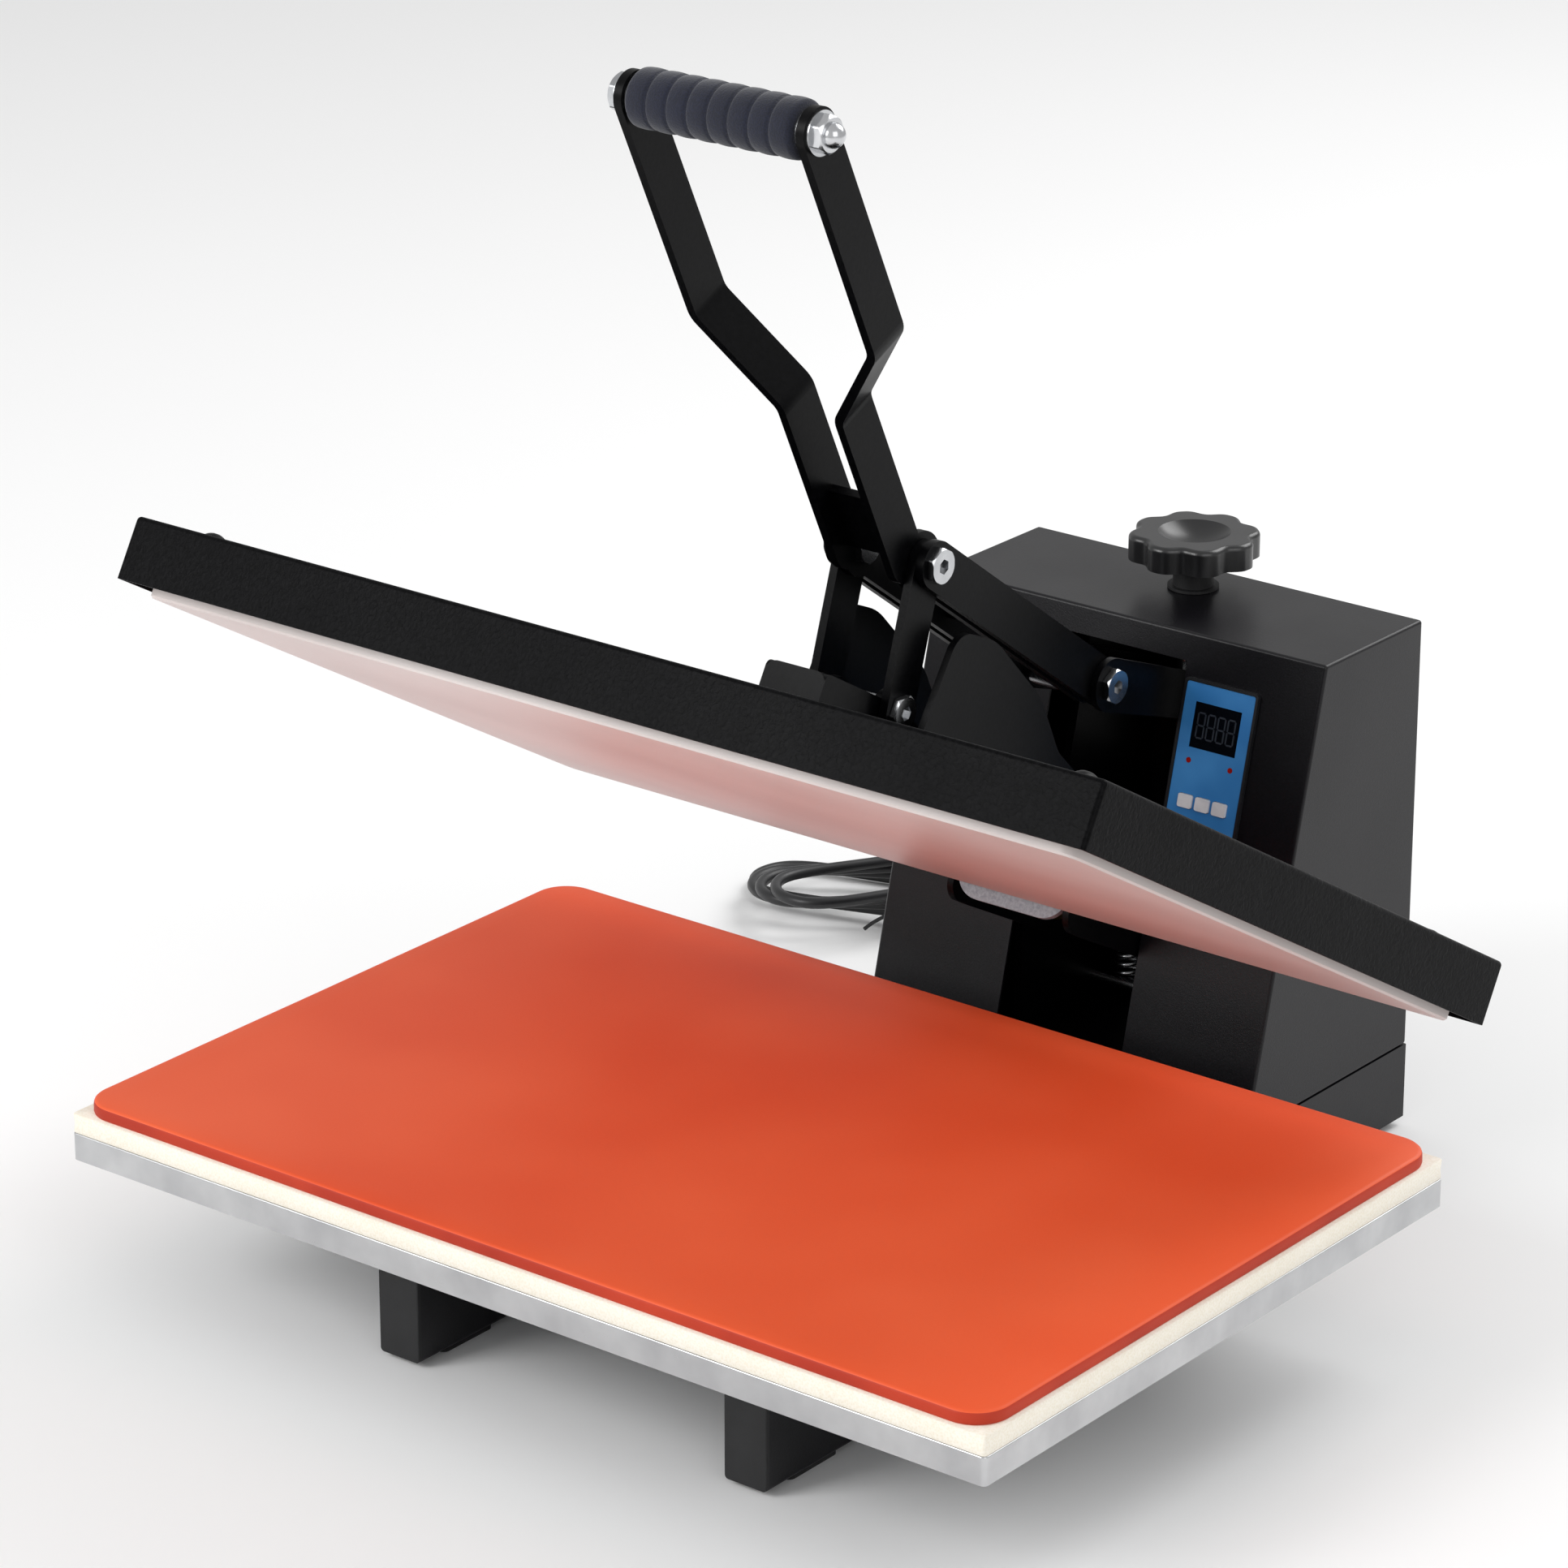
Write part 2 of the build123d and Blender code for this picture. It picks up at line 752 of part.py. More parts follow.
bend = (handle_bend_y, handle_bend_z)
grip = (grip_y, grip_z)
handle_length = math.dist(bend, grip)
handle_dir = ((grip_y - handle_bend_y) / handle_length, (grip_z - handle_bend_z) / handle_length)
handle_plane = Plane(
    origin=(0, handle_bend_y, handle_bend_z),
    x_dir=(0, handle_dir[0], handle_dir[1]),
    z_dir=(0, handle_dir[1], -handle_dir[0]),
)


def lever_bars():
    """Flat bars bent outwards to the grip, each in one piece with its rear arm."""
    low_x = bar_inner_x + plate_thick / 2
    route = FilletPolyline(
        (-handle_width, low_x),
        (handle_length * jog_start, low_x),
        (handle_length * jog_end, handle_half_span),
        (handle_length + handle_width, handle_half_span),
        radius=12,
    )
    strip = trace(route, plate_thick)
    bar = extrude(handle_plane * strip, amount=handle_width, both=True)
    bar &= plate(capsule(bend, grip, handle_width), 0, handle_half_span + handle_width)
    rear = capsule(pivot, knee, link_width) + Pos(*knee) * Circle(link_width * 0.62)
    rear += capsule(knee, bend, handle_width)
    bar += plate(rear, bar_inner_x, bar_inner_x + plate_thick)
    bar -= rod_x(*pivot, pivot_r + running_clear, 0, handle_half_span)
    bar -= rod_x(*knee, pivot_r, 0, bar_inner_x + plate_thick + 1)
    bar -= rod_x(*grip, grip_bolt_r + 0.1, handle_half_span - 9, handle_half_span + 9)
    return both_sides(bar)


def lever_links():
    """Straight plates outside the legs, from the knee to the pivot."""
    outline = capsule(pivot, knee, link_width)
    outline -= Pos(*pivot) * Circle(pivot_r + running_clear)
    outline -= Pos(*knee) * Circle(pivot_r)
    return both_sides(plate(outline, link_inner_x, link_outer_x))


def lever_web():
    """Flat plate welded between the bars just above the knee."""
    sketch = Pos(21, 0) * Rectangle(38, 2 * bar_inner_x)
    return extrude(handle_plane * sketch, amount=plate_thick / 2, both=True)


def lever_tie():
    """Round bar that joins the rear arms behind the knee."""
    t = 0.5
    y = knee[0] + (pivot[0] - knee[0]) * t
    z = knee[1] + (pivot[1] - knee[1]) * t
    return rod_x(y, z, 6, -bar_inner_x, bar_inner_x)


def knee_bolts():
    """Bolt stubs at the knee. They stop short of the leg, so the linkage is open there."""
    head = along_x(hex_head(9.0, 4.0), link_outer_x, *knee)
    socket = along_x(extrude(RegularPolygon(4.2, 6), amount=4), link_outer_x + 1.4, *knee)
    outer = rod_x(*knee, pivot_r, link_inner_x, link_outer_x) + head - socket
    nut = along_x(hex_head(8.0, 4.5), bar_inner_x, *knee, flip=True)
    inner = rod_x(*knee, pivot_r, bar_inner_x, bar_inner_x + plate_thick) + nut
    return both_sides(outer) + both_sides(inner)


def grip_tube():
    reach = handle_half_span - plate_thick / 2 - 0.2
    tube = rod_x(*grip, grip_tube_r, -reach, reach)
    return tube - rod_x(*grip, grip_bolt_r + 0.3, -reach - 1, reach + 1)


def grip_bolt():
    reach = handle_half_span + plate_thick / 2
    end = reach + washer_thick
    shank = rod_x(*grip, grip_bolt_r, -end - 3, end + 3)
    head = along_x(hex_head(9.5, 5.0), -end, *grip, flip=True)
    nut = along_x(hex_head(9.0, 6.0), end, *grip)
    dome = Pos(end + 6.0, *grip) * Sphere(6.6)
    bolt = shank + head + nut + dome
    washers = []
    for x in (-end, reach):
        ring = rod_x(*grip, 11.5, x, x + washer_thick)
        washers.append(ring - rod_x(*grip, grip_bolt_r + running_clear, x - 1, x + 3))
    return [bolt] + washers


def foam_grip():
    reach = handle_half_span - plate_thick / 2 - 2.5
    foam = rod_x(*grip, grip_r, -reach, reach)
    foam = fillet(foam.edges().filter_by(GeomType.CIRCLE), 4)
    return foam - rod_x(*grip, grip_tube_r + 0.05, -reach - 1, reach + 1)


def toggle_legs():
    outline = capsule(leg_foot, knee, leg_width)
    outline -= Pos(*leg_foot) * Circle(pivot_r + running_clear)
    outline -= Pos(*knee) * Circle(pivot_r + running_clear)
    return both_sides(plate(outline, leg_inner_x, leg_inner_x + plate_thick))


# ---------------------------------------------------------------- upper platen, closed pose


def platen_block(inset_x, inset_y, z0, z1):
    """A block centred on the bed, inset from the platen's outline."""
    w = platen_width / 2 - inset_x
    d = platen_depth / 2 - inset_y
    return block(-w, w, -d, d, z0, z1)


def platen_cover():
    cover = platen_block(0, 0, cover_bottom_z, cover_top_z)
    cover = fillet(cover.edges().filter_by(Axis.Z), cover_round)
    cover = fillet(cover.faces().sort_by(Axis.Z)[-1].edges(), cover_round)
    cover -= platen_block(cover_wall, cover_wall, cover_bottom_z - 1, cover_top_z - cover_wall)
    return opened(cover)


def heater_plate():
    plate_z = heater_bottom_z + heater_thick
    heater = platen_block(heater_inset, heater_inset, heater_bottom_z, plate_z)
    heater = fillet(heater.edges().filter_by(Axis.Z), 8)
    heater = chamfer(heater.faces().sort_by(Axis.Z)[0].edges(), 1.2)
    return opened(heater)


element_rows = 6


def element_path():
    """One serpentine over the heater plate, as straight runs joined by half turns."""
    reach = platen_width / 2 - 60
    pitch = (platen_depth - 110) / (element_rows - 1)
    z = heater_bottom_z + heater_thick + element_r + 0.2
    points = []
    for row in range(element_rows):
        y = -platen_depth / 2 + 55 + row * pitch
        side = 1 if row % 2 == 0 else -1
        points.append((-side * reach, y, z))
        points.append((side * reach, y, z))
    return FilletPolyline(*points, radius=pitch * 0.42)


def swept(path, r):
    """Round bar along a path."""
    start = Plane(origin=path @ 0, z_dir=path % 0)
    return sweep(start * Circle(r), path=path)


def heating_element():
    return opened(swept(element_path(), element_r))


def heater_insulation():
    low = heater_bottom_z + heater_thick + 0.1
    wool = platen_block(heater_inset, heater_inset, low, cover_top_z - cover_wall - 0.2)
    groove = swept(element_path(), element_r + 0.3)
    return opened(wool - groove)


def cover_bolts():
    bolts = []
    for x in (-1, 1):
        for y in (-1, 1):
            at = Pos(
                x * (platen_width / 2 - cover_bolt_inset),
                y * (platen_depth / 2 - cover_bolt_inset),
                cover_top_z,
            )
            dome = at * (Cylinder(7, 8) & Pos(0, 0, -5.0) * Sphere(9.2))
            bolts.append(dome & at * Pos(0, 0, 5) * Box(20, 20, 10))
    return [opened(b) for b in bolts]


bracket_front = -38.0
bracket_half = bar_inner_x - side_gap + 4.0
bracket_rise = 30.0
arm_floor = 5.0


def arm_bracket():
    """Folded channel on the cover: front face, top, and two cheeks with the legs' pivot."""
    z0 = cover_top_z + arm_floor
    z1 = cover_top_z + bracket_rise
    cheek = rounded(
        [
            (bracket_front, z0, 0),
            (bracket_front, z1, 4),
            (leg_foot_y, z1, 0),
            (leg_foot_y + 12, z1, 8),
            (leg_foot_y + 90, z0, 0),
        ]
    )
    cheek += Pos(*leg_foot_closed) * Circle(leg_lug_r)
    hole = Pos(*leg_foot_closed) * Circle(pivot_r)
    half = bracket_half
    cheeks = plate(cheek - hole, half - 5, half)
    front = block(-half, half, bracket_front, bracket_front + 5, z0, z1)
    front = fillet(front.edges().filter_by(Axis.Y).group_by(Axis.Z)[-1], 7)
    top = block(-half + 4, half - 4, bracket_front + 2, leg_foot_y - 16, z1 - 5, z1)
    return opened(cheeks + mirror(cheeks, Plane.YZ) + front + top)


def arm_floor_plate():
    """Plate on the cover that the bracket and the arm plates are welded to."""
    floor = block(
        -arm_inner_x, arm_inner_x, bracket_front - 12, platen_depth / 2 + 4, cover_top_z, cover_top_z + arm_floor
    )
    return opened(fillet(floor.edges().filter_by(Axis.Z).group_by(Axis.Y)[0], 14))


web_y = platen_depth / 2 + 10
web_low_z = heater_bottom_z - 9
web_thick = 4.0


def arm_plates():
    """Side plates of the swing arm: a hump over the cover and a tail back to the main hinge."""
    rear_lug = turned(lug, open_angle)
    z0 = cover_top_z
    outline = rounded(
        [
            (leg_foot_y + 3, z0, 0),
            (leg_foot_y + 8, z0 + 76, 14),
            (leg_foot_y + 42, z0 + 80, 40),
            (leg_foot_y + 100, z0 + 63, 60),
            (leg_foot_y + 133, z0 + 40, 20),
            (platen_depth / 2 + 10, z0 + 24, 20),
            (hinge_y, hinge_z + 20, 0),
            (hinge_y, hinge_z - 20, 0),
            (web_y + 22, web_low_z, 20),
            (web_y - 2, web_low_z, 12),
            (web_y - 2, z0, 0),
        ]
    )
    outline += Pos(hinge_y, hinge_z) * Circle(20)
    outline += tapered((hinge_y, hinge_z), 18, rear_lug, lug_r)
    outline -= Pos(hinge_y, hinge_z) * Circle(hinge_pin_r + 4)
    outline -= Pos(*rear_lug) * Circle(tie_rod_r)
    return [opened(p) for p in both_sides(plate(outline, arm_inner_x, arm_outer_x))]


def arm_cross_web():
    """Pale cross plate behind the platen that ties the two tails together."""
    web = block(-arm_inner_x, arm_inner_x, web_y, web_y + web_thick, web_low_z + 3, cover_top_z - 4)
    low = web.edges().filter_by(Axis.Y).group_by(Axis.Z)[0]
    return opened(fillet(low, 16))


def arm_tie_rod():
    rear_lug = turned(lug, open_angle)
    return opened(rod_x(*rear_lug, tie_rod_r, -arm_outer_x, arm_outer_x))


def hinge_bushes():
    ring = rod_x(hinge_y, hinge_z, hinge_pin_r + 4, arm_inner_x - 4, arm_outer_x)
    flange = rod_x(hinge_y, hinge_z, hinge_pin_r + 8, arm_outer_x, mast_inner_x - side_gap)
    bore = rod_x(hinge_y, hinge_z, hinge_pin_r + running_clear, 0, mast_inner_x + 1)
    return [opened(b) for b in both_sides(ring + flange - bore)]


def leg_bolt():
    """Bolt through the bracket's cheeks that the legs turn on."""
    y, z = leg_foot_closed
    reach = leg_inner_x + plate_thick + 0.3
    bolt = rod_x(y, z, pivot_r, -reach, reach)
    head = along_x(hex_head(8.5, 3.8), reach, y, z)
    socket = along_x(extrude(RegularPolygon(4.0, 6), amount=4), reach + 1.3, y, z)
    nut = along_x(hex_head(8.5, 3.8), -reach, y, z, flip=True)
    return opened(bolt + head + nut - socket)


# ---------------------------------------------------------------- power cord


def cable_gland():
    """Hexagonal gland body through the rear cover, with its lock nut inside."""
    y = tower_back_y
    body = Pos(gland_x, y, gland_z) * Rot(-90, 0, 0) * extrude(RegularPolygon(11, 6), amount=gland_reach)
    neck = Pos(gland_x, y - 8, gland_z) * Rot(-90, 0, 0) * extrude(Circle(7), amount=8)
    nut = Pos(gland_x, y - 7, gland_z) * Rot(-90, 0, 0) * extrude(RegularPolygon(11, 6), amount=5)
    return body + neck + nut


def strain_relief():
    """Tapered sleeve from the gland to the free cord."""
    y = tower_back_y + gland_reach
    cone = Pos(gland_x, y + relief_length / 2, gland_z) * Rot(-90, 0, 0) * Cone(6.5, 4.3, relief_length)
    return cone


cord_start_y = tower_back_y + gland_reach + relief_length
floor_z = cord_r + 0.1
cord_points = [
    (gland_x, cord_start_y, gland_z),
    (gland_x, cord_start_y + 42, gland_z),
    (gland_x - 13, cord_start_y + 78, gland_z - 40),
    (gland_x - 40, cord_start_y + 98, gland_z - 72),
    (gland_x - 75, cord_start_y + 98, floor_z),
    (gland_x - 111, cord_start_y + 82, floor_z),
    (gland_x - 148, cord_start_y + 72, floor_z),
]
tail_points = [
    (gland_x - 145, cord_start_y + 46, floor_z),
    (gland_x - 117, cord_start_y + 55, floor_z + 2),
    (gland_x - 85, cord_start_y + 61, floor_z + 8.4),
]
plug_turn = 12.0
plug_half = 15.0
plug_x = tail_points[-1][0] + plug_half * math.cos(math.radians(plug_turn))
plug_y = tail_points[-1][1] + plug_half * math.sin(math.radians(plug_turn))


def corner_radii(points):
    """Arc radius at each inner corner: 0.45 of the shorter run over the tangent of half the turn."""
    radii = []
    for a, b, c in zip(points, points[1:], points[2:]):
        before = Vector(b) - Vector(a)
        after = Vector(c) - Vector(b)
        half = math.radians(before.get_angle(after)) / 2
        radii.append(0.45 * min(before.length, after.length) / math.tan(half))
    return radii


def cord_tube(points):
    radii = corner_radii(points)
    print("cord corner radii:", [round(r, 1) for r in radii])
    path = FilletPolyline(*points, radius=radii)
    tube = swept(path, cord_r)
    print("cord length:", round(path.length, 1))
    print("cord volume over section x length:", round(tube.volume / (math.pi * cord_r**2 * path.length), 4))
    return tube


def cord_hank():
    """Closed outer shape of the loose loops on the ground."""
    slab = Pos(hank_x, hank_y, 0.1) * Rot(0, 0, hank_turn) * extrude(
        SlotOverall(hank_length, hank_width), amount=hank_height
    )
    return fillet(slab.faces().sort_by(Axis.Z)[-1].edges(), 8)


def cord_plug():
    """Moulded mains plug lying on the ground behind the tower."""
    body = Pos(0, 0, 12) * Box(2 * plug_half, 26, 22)
    body = fillet(body.edges().filter_by(Axis.X), 7)
    body = fillet(body.faces().sort_by(Axis.X)[0].edges(), 3)
    for y in (-6, 6):
        body += Pos(24, y, 14) * Box(18, 1.6, 6.4)
    body += Pos(24, 0, 8) * Rot(0, 90, 0) * Cylinder(2.3, 18)
    return Pos(plug_x, plug_y, 0) * Rot(0, 0, plug_turn) * body


# ---------------------------------------------------------------- write the nodes

save("base_rails", base_rails())
save("rail_end_caps", rail_end_caps())
save("rubber_feet", rubber_feet())
save("cross_beams", cross_beams())
save("lower_tray", lower_tray())
save("tray_bolts", tray_bolts())
save("sponge_layer", sponge_layer())
save("silicone_pad", silicone_pad())
save("tower_shell", tower_shell())
save("tower_skirt", tower_skirt())
save("mast_frame", [tower_floor(), mast_plates(), mast_crosshead()])
save("main_hinge_pin", hinge_pin())
save("rear_cover", rear_cover())
save("power_switch_body", switch_body())
save("power_rocker", rocker())
save("fuse_holder", fuse_holder())
save("rear_screws", shell_screws())
save("panel_bezel", panel_bezel())
save("panel_face", panel_face())
save("display_window", display_window())
save("status_leds", status_leds())
save("control_board", control_board())
for name, place in (("left", -1), ("middle", 0), ("right", 1)):
    save(f"button_{name}", button(place))
save("transformer", transformer())
save("relay_block", relay_block())
save("terminal_block", terminal_block())
save("open_stops", open_stops())
save("spring_anchor", spring_anchor())
save("return_springs", return_springs())
save("pressure_screw", pressure_screw())
save("knob_collar", knob_collar())
save("pressure_knob", pressure_knob())
save("pressure_hanger", pressure_hanger())
save("lever_pivot_bolt", pivot_bolt())
save("pivot_spacers", pivot_spacers())
save("lever_bars", lever_bars())
save("lever_links", lever_links())
save("lever_web", [lever_web(), lever_tie()])
save("knee_bolts", knee_bolts())
save("grip_tube", grip_tube())
save("grip_bolt", grip_bolt())
save("foam_grip", foam_grip())
save("toggle_legs", toggle_legs())
save("leg_pivot_bolt", leg_bolt())
save("platen_cover", platen_cover())
save("cover_bolts", cover_bolts())
save("heater_plate", heater_plate())
save("heating_element", heating_element())
save("heater_insulation", heater_insulation())
save("arm_bracket", [arm_bracket(), arm_floor_plate()])
save("arm_side_plates", arm_plates())
save("arm_rear_parts", [arm_cross_web(), arm_tie_rod()])
save("hinge_bushes", hinge_bushes())
save("cable_gland", cable_gland())
save("strain_relief", strain_relief())
save("power_cord", [cord_tube(cord_points), cord_tube(tail_points)])
save("cord_hank", cord_hank())
save("cord_plug", cord_plug())
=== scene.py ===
import bpy
import json
import math
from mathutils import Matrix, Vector, noise


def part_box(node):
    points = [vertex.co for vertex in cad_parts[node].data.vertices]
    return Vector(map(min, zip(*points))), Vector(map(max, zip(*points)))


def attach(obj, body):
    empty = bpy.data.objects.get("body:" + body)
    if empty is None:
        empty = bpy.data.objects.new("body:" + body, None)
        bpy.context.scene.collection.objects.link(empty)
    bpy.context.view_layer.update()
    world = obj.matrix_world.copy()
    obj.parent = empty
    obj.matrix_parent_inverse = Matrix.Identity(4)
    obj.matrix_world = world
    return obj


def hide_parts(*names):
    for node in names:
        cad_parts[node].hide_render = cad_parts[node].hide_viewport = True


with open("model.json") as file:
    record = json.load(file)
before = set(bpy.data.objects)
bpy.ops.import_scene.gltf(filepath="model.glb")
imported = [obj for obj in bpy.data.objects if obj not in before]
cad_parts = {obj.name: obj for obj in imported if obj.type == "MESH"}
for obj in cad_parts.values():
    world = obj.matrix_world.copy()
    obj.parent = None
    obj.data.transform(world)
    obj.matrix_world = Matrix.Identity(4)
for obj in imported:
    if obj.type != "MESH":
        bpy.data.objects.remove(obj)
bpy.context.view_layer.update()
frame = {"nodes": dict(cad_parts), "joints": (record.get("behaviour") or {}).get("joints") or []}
mm = 0.001
print("frame loaded,", len(frame["nodes"]), "nodes")


def linearColour(hexValue):
    channels = [int(hexValue[i:i + 2], 16) / 255 for i in (1, 3, 5)]
    return [c / 12.92 if c <= 0.04045 else ((c + 0.055) / 1.055) ** 2.4 for c in channels] + [1.0]


def addNode(tree, kind, settings=None, links=None):
    node = tree.nodes.new("ShaderNode" + kind)
    for key, value in (settings or {}).items():
        if isinstance(key, int) or key in node.inputs:
            node.inputs[key].default_value = value
        else:
            setattr(node, key, value)
    for key, source in (links or {}).items():
        tree.links.new(source, node.inputs[key])
    return node


def newFinish(name, settings):
    finish = bpy.data.materials.new(name)
    finish.use_nodes = True
    shader = finish.node_tree.nodes["Principled BSDF"]
    for key, value in settings.items():
        shader.inputs[key].default_value = value
    return finish, finish.node_tree, shader


def grainScale(sizeMm):
    return 1 / (sizeMm * mm)  # texture coordinates are metres, so this gives one cell per size


def twoTone(tree, mask, low, high, darkHex, lightHex):
    spread = addNode(tree, "MapRange", {"From Min": low, "From Max": high}, {"Value": mask})
    colours = {"data_type": "RGBA", 6: linearColour(darkHex), 7: linearColour(lightHex)}
    return addNode(tree, "Mix", colours, {0: spread.outputs[0]}).outputs[2]


def coatSurface(tree, shader, colour, rough, bump):
    tree.links.new(colour, shader.inputs["Base Color"])
    tree.links.new(rough.outputs[0], shader.inputs["Roughness"])
    tree.links.new(bump.outputs[0], shader.inputs["Normal"])


def wrinklePowderCoat(name, look):
    # polyester powder baked on sheet steel: fine leathery wrinkles that scatter the light
    finish, tree, shader = newFinish(name, {"IOR": 1.5, "Specular IOR Level": look["shine"]})
    coords = addNode(tree, "TexCoord").outputs["Object"]
    grain = {"Scale": grainScale(look["grainMm"]), "Detail": 3.0, "Roughness": 0.55, "Distortion": 0.6}
    wrinkle = addNode(tree, "TexNoise", grain, {"Vector": coords}).outputs[0]
    cloud = addNode(tree, "TexNoise", {"Scale": grainScale(90), "Detail": 3.0}, {"Vector": coords}).outputs[0]
    colour = twoTone(tree, wrinkle, 0.35, 0.7, look["dark"], look["light"])
    gloss = {"To Min": look["roughness"] - 0.07, "To Max": look["roughness"] + 0.1}
    rough = addNode(tree, "MapRange", gloss, {"Value": cloud})
    depth = {"Strength": look["relief"], "Distance": 0.4 * mm}
    bump = addNode(tree, "Bump", depth, {"Height": wrinkle})
    coatSurface(tree, shader, colour, rough, bump)
    return finish


def brightMetal(name, look):
    # plated or polished metal: lay lines along one axis, clouded by handling
    finish, tree, shader = newFinish(name, {"Metallic": 1.0})
    coords = addNode(tree, "TexCoord").outputs["Object"]
    squash = addNode(tree, "Mapping", {"Scale": look["lay"]}, {"Vector": coords}).outputs[0]
    line = {"Scale": grainScale(look["lineMm"]), "Detail": 4.0}
    lines = addNode(tree, "TexNoise", line, {"Vector": squash}).outputs[0]
    cloud = addNode(tree, "TexNoise", {"Scale": grainScale(30), "Detail": 3.0}, {"Vector": coords}).outputs[0]
    colour = twoTone(tree, cloud, 0.3, 0.7, look["dark"], look["light"])
    gloss = {"To Min": look["roughness"] * 0.75, "To Max": look["roughness"] * 1.35}
    rough = addNode(tree, "MapRange", gloss, {"Value": lines})
    bump = addNode(tree, "Bump", {"Strength": look["relief"], "Distance": 0.1 * mm}, {"Height": lines})
    coatSurface(tree, shader, colour, rough, bump)
    return finish


def mouldedPlastic(name, look):
    # moulded polymer: spark-eroded mould texture, slight colour drift
    settings = {"IOR": look["ior"], "Metallic": 0.0, "Coat Weight": look.get("coat", 0.0)}
    finish, tree, shader = newFinish(name, settings)
    coords = addNode(tree, "TexCoord").outputs["Object"]
    spark = {"Scale": grainScale(look["grainMm"]), "Detail": 2.0}
    texture = addNode(tree, "TexNoise", spark, {"Vector": coords}).outputs[0]
    drift = {"Scale": grainScale(look.get("driftMm", 120)), "Detail": 2.0}
    cloud = addNode(tree, "TexNoise", drift, {"Vector": coords}).outputs[0]
    colour = twoTone(tree, cloud, 0.3, 0.7, look["dark"], look["light"])
    gloss = {"To Min": look["roughness"] - 0.05, "To Max": look["roughness"] + 0.07}
    rough = addNode(tree, "MapRange", gloss, {"Value": texture})
    bump = addNode(tree, "Bump", {"Strength": look["relief"], "Distance": 0.15 * mm}, {"Height": texture})
    coatSurface(tree, shader, colour, rough, bump)
    return finish


def cellFoam(name, look):
    # open or closed cell foam: small pits, very matt
    finish, tree, shader = newFinish(name, {"IOR": 1.4, "Sheen Weight": look["sheen"]})
    coords = addNode(tree, "TexCoord").outputs["Object"]
    cell = {"Scale": grainScale(look["cellMm"]), "feature": "F1"}
    pits = addNode(tree, "TexVoronoi", cell, {"Vector": coords}).outputs["Distance"]
    drift = addNode(tree, "TexNoise", {"Scale": grainScale(45), "Detail": 4.0}, {"Vector": coords}).outputs[0]
    pitTone = twoTone(tree, pits, 0.1, 0.7, look["dark"], look["light"])
    driftTone = twoTone(tree, drift, 0.3, 0.7, look["dark"], look["light"])
    mixed = {"data_type": "RGBA", "blend_type": "MIX", 0: 0.35}
    colour = addNode(tree, "Mix", mixed, {6: pitTone, 7: driftTone}).outputs[2]
    rough = addNode(tree, "MapRange", {"To Min": 0.78, "To Max": 0.95}, {"Value": drift})
    bump = addNode(tree, "Bump", {"Strength": look["relief"], "Distance": 0.35 * mm}, {"Height": pits})
    coatSurface(tree, shader, colour, rough, bump)
    return finish


coverCoat = wrinklePowderCoat("wrinklePowderCoatBlack", {
    "dark": "#010102", "light": "#0A0A0C", "grainMm": 2.4, "roughness": 0.42, "relief": 0.8, "shine": 0.06})
towerCoat = wrinklePowderCoat("finePowderCoatBlack", {
    "dark": "#08070A", "light": "#121116", "grainMm": 0.9, "roughness": 0.32, "relief": 0.15, "shine": 0.3})
plateEnamel = wrinklePowderCoat("satinEnamelOnCutPlate", {
    "dark": "#020203", "light": "#08080A", "grainMm": 2.6, "roughness": 0.34, "relief": 0.12, "shine": 0.1})
greyEnamel = wrinklePowderCoat("paleEnamelOnPlate", {
    "dark": "#8F949C", "light": "#AEB3BA", "grainMm": 2.2, "roughness": 0.36, "relief": 0.1, "shine": 0.5})
zincPlate = brightMetal("zincPlatedSteel", {
    "dark": "#A9ABAE", "light": "#D2D3D5", "lay": (1, 1, 1), "lineMm": 0.8,
    "roughness": 0.22, "relief": 0.08})
bedAlloy = brightMetal("millFinishAluminium", {
    "dark": "#BABBBD", "light": "#CFD0D1", "lay": (0.04, 1, 1), "lineMm": 0.6,
    "roughness": 0.3, "relief": 0.12})
bronze = brightMetal("sinteredBronze", {
    "dark": "#7C5A33", "light": "#A27B4B", "lay": (1, 1, 1), "lineMm": 0.7,
    "roughness": 0.4, "relief": 0.15})
copperWire = brightMetal("enamelledCopper", {
    "dark": "#8A4E25", "light": "#B56E3C", "lay": (1, 0.1, 1), "lineMm": 0.8,
    "roughness": 0.3, "relief": 0.2})
nonStick = mouldedPlastic("nonStickCoatOnCastAluminium", {
    "dark": "#C9BFBC", "light": "#DAD2CF", "grainMm": 1.2,
    "ior": 1.38, "roughness": 0.34, "relief": 0.08, "driftMm": 200})
orangeSilicone = mouldedPlastic("mouldedSiliconeOrange", {
    "dark": "#E04D1F", "light": "#EC6034", "grainMm": 1.1,
    "ior": 1.41, "roughness": 0.5, "relief": 0.12, "driftMm": 180})
# darker copy of the orange silicone for the pad's side faces: painted shade, not a different material
siliconePaintedShade = mouldedPlastic("siliconeSidesPaintedShade", {
    "dark": "#A8280D", "light": "#BE3716", "grainMm": 1.1,
    "ior": 1.41, "roughness": 0.55, "relief": 0.15, "driftMm": 60})
knobPhenolic = mouldedPlastic("mouldedPhenolicBlack", {
    "dark": "#0B0B0C", "light": "#141416", "grainMm": 0.7,
    "ior": 1.6, "roughness": 0.32, "relief": 0.08, "driftMm": 20})
blackRubber = mouldedPlastic("mouldedRubberBlack", {
    "dark": "#0D0D0E", "light": "#18181A", "grainMm": 0.8,
    "ior": 1.52, "roughness": 0.6, "relief": 0.2, "driftMm": 15})
leadSheath = mouldedPlastic("extrudedPvcSheathBlack", {
    "dark": "#0C0C0E", "light": "#17171A", "grainMm": 1.0,
    "ior": 1.53, "roughness": 0.42, "relief": 0.1, "driftMm": 30})
